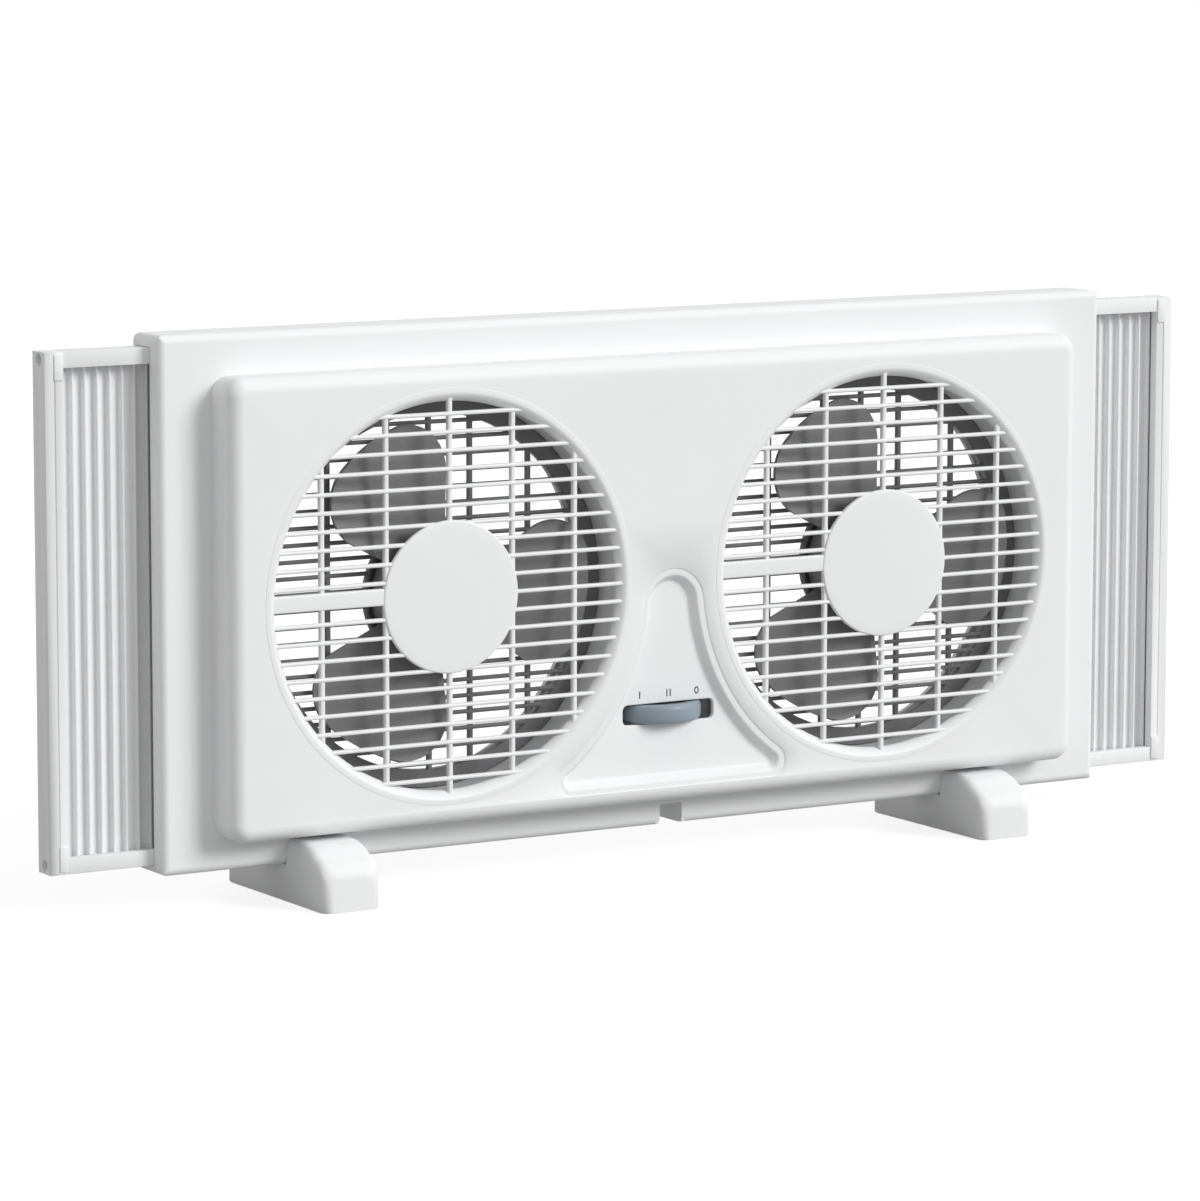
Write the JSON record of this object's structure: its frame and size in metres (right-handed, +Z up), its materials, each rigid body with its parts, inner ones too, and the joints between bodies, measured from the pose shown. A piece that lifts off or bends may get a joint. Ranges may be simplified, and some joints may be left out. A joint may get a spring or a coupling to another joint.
{
  "type": "window fan",
  "caption": "Twin window fan: a flat housing with two round grilles and blade fans, a thumbwheel switch, side panels that slide out to fill the window, and push-on feet.",
  "frame": {"origin": "on the floor under the middle of the housing's width and depth", "axes": "+X to the right seen from the front, +Y to the back, +Z up; the grilles and the switch face -Y"},
  "size_m": [0.719, 0.1116, 0.303],
  "materials": {
    "housing_plastic": "satin",
    "panel_plastic": "satin",
    "grille_plastic": "satin",
    "rear_grille_plastic": "satin",
    "fan_plastic": "satin",
    "wheel_plastic": "satin",
    "motor_steel": "satin",
    "core_steel": "matt",
    "shaft_steel": "polished",
    "bush_brass": "satin",
    "screw_steel": "satin",
    "lead_insulation": "matt",
    "switch_plastic": "matt",
    "grommet_rubber": "matt"
  },
  "bodies": {
    "housing": {"main_frame": "housing_plastic", "front_cover": "housing_plastic", "back_cover": "housing_plastic", "front_grille_left": "grille_plastic", "front_grille_right": "grille_plastic", "rear_grille_left": "rear_grille_plastic", "rear_grille_right": "rear_grille_plastic", "motor_case_left": "motor_steel", "motor_case_right": "motor_steel", "motor_cap_left": "motor_steel", "motor_cap_right": "motor_steel", "stator_left": "core_steel", "stator_right": "core_steel", "motor_bushes_left": "bush_brass", "motor_bushes_right": "bush_brass", "motor_leads_left": "lead_insulation", "motor_leads_right": "lead_insulation", "switch_body": "switch_plastic", "switch_screws": "screw_steel", "motor_screws": "screw_steel", "cover_screws": "screw_steel", "back_screws": "screw_steel", "cord_grommet": "grommet_rubber", "foot_left": "housing_plastic", "foot_right": "housing_plastic"},
    "left_fan": {"fan_left": "fan_plastic", "fan_nut_left": "shaft_steel", "motor_shaft_left": "shaft_steel", "rotor_left": "core_steel"},
    "right_fan": {"fan_right": "fan_plastic", "fan_nut_right": "shaft_steel", "motor_shaft_right": "shaft_steel", "rotor_right": "core_steel"},
    "thumbwheel": {"switch_wheel": "wheel_plastic", "switch_spindle": "shaft_steel"},
    "left_panel": {"end_post_left": "panel_plastic", "side_panel_left": "panel_plastic", "top_rail_left": "panel_plastic", "bottom_rail_left": "panel_plastic", "post_screws_left": "screw_steel"},
    "right_panel": {"end_post_right": "panel_plastic", "side_panel_right": "panel_plastic", "top_rail_right": "panel_plastic", "bottom_rail_right": "panel_plastic", "post_screws_right": "screw_steel"}
  },
  "joints": [
    {"name": "left_fan_spin", "type": "hinge", "parent": "housing", "child": "left_fan", "pos_m": [-0.1386, 0, 0.159], "axis": [0, 1, 0], "continuous": true},
    {"name": "right_fan_spin", "type": "hinge", "parent": "housing", "child": "right_fan", "pos_m": [0.1386, 0, 0.159], "axis": [0, 1, 0], "continuous": true},
    {"name": "thumbwheel_turn", "type": "hinge", "parent": "housing", "child": "thumbwheel", "pos_m": [0, -0.01425, 0.0855], "axis": [0, 0, 1], "range_deg": [-39, 39]},
    {"name": "left_panel_slide", "type": "slide", "parent": "housing", "child": "left_panel", "axis": [-1, 0, 0], "range_m": [-0.049, 0.016]},
    {"name": "right_panel_slide", "type": "slide", "parent": "housing", "child": "right_panel", "axis": [1, 0, 0], "range_m": [-0.049, 0.016]}
  ]
}
